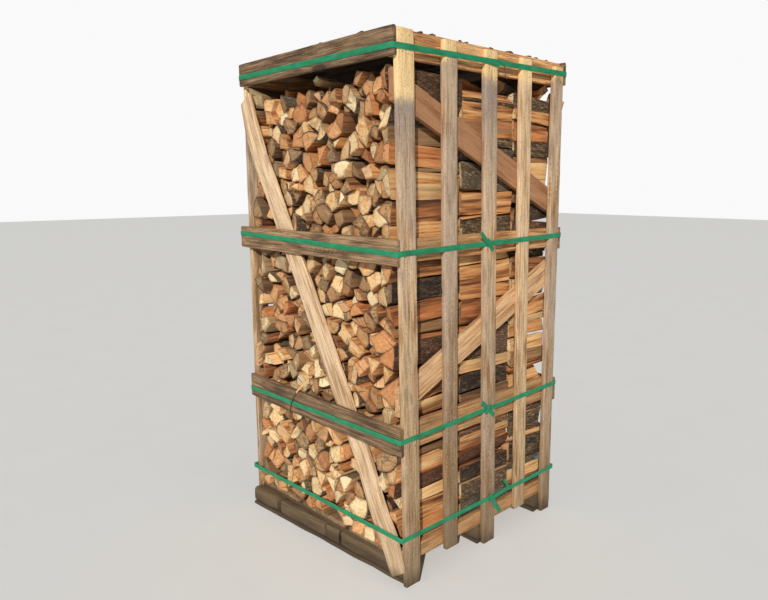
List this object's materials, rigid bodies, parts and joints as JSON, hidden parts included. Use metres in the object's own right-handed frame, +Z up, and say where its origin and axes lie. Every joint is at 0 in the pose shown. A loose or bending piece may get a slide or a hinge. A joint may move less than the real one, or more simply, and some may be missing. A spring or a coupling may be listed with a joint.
{
  "type": "pallet of softwood firewood",
  "caption": "Tall slatted softwood crate on a block pallet, packed with rows of split firewood logs and held by flat plastic straps.",
  "frame": {"origin": "on the floor, under the middle of the whole crate", "axes": "+Z up; the open face with the log ends looks along -Y; the slatted side seen in the picture looks along +X; the logs run along Y"},
  "size_m": [1.0476, 1.0656, 2.056],
  "materials": {
    "slat_timber": "sawn softwood, golden at the tops and weathered grey-beige below",
    "rail_timber": "sawn softwood, orange tan",
    "brace_timber": "sawn softwood, pinkish brown to light tan",
    "board_timber": "weathered brown-grey sawn board",
    "diagonal_timber": "fresh pale board with a waney edge",
    "pallet_timber": "dirty dark grey-brown pallet timber",
    "deck_timber": "worn tan pallet deck",
    "roof_timber": "weathered sawn board",
    "strap_plastic": "green embossed plastic band, low gloss",
    "split_logs": "split softwood, cream to orange faces with dark bark",
    "nail_steel": "dull, slightly rusted nail heads"
  },
  "bodies": {
    "root": {"front_skid_board": "pallet_timber", "front_left_block": "pallet_timber", "front_left_runner": "pallet_timber", "front_middle_block": "pallet_timber", "front_right_runner": "pallet_timber", "front_stringer": "deck_timber", "middle_skid_board": "pallet_timber", "middle_left_block": "pallet_timber", "middle_middle_block": "pallet_timber", "middle_right_block": "pallet_timber", "middle_stringer": "deck_timber", "rear_skid_board": "pallet_timber", "rear_left_block": "pallet_timber", "rear_middle_block": "pallet_timber", "rear_right_block": "pallet_timber", "rear_stringer": "deck_timber", "left_deck_board": "deck_timber", "centre_deck_board": "deck_timber", "right_deck_board": "deck_timber", "right_top_rail": "rail_timber", "right_middle_rail": "rail_timber", "right_low_rail": "rail_timber", "right_bottom_rail": "rail_timber", "right_upper_brace": "brace_timber", "right_lower_brace": "brace_timber", "right_slat_1": "slat_timber", "right_slat_2": "slat_timber", "right_slat_3": "slat_timber", "right_slat_4": "slat_timber", "right_slat_5": "slat_timber", "left_top_rail": "rail_timber", "left_middle_rail": "rail_timber", "left_low_rail": "rail_timber", "left_bottom_rail": "rail_timber", "left_upper_brace": "brace_timber", "left_lower_brace": "brace_timber", "left_slat_1": "slat_timber", "left_slat_2": "slat_timber", "left_slat_3": "slat_timber", "left_slat_4": "slat_timber", "left_slat_5": "slat_timber", "front_top_board": "board_timber", "front_middle_board": "board_timber", "front_low_board": "board_timber", "front_diagonal": "diagonal_timber", "back_top_board": "board_timber", "back_middle_board": "board_timber", "back_low_board": "board_timber", "back_diagonal": "diagonal_timber", "roof_board_1": "roof_timber", "roof_board_2": "roof_timber", "roof_board_3": "roof_timber", "roof_board_4": "roof_timber", "top_strap": "strap_plastic", "middle_strap": "strap_plastic", "low_strap": "strap_plastic", "base_strap": "strap_plastic", "firewood_front_row": "split_logs", "firewood_middle_row": "split_logs", "firewood_rear_row": "split_logs"}
  },
  "joints": []
}
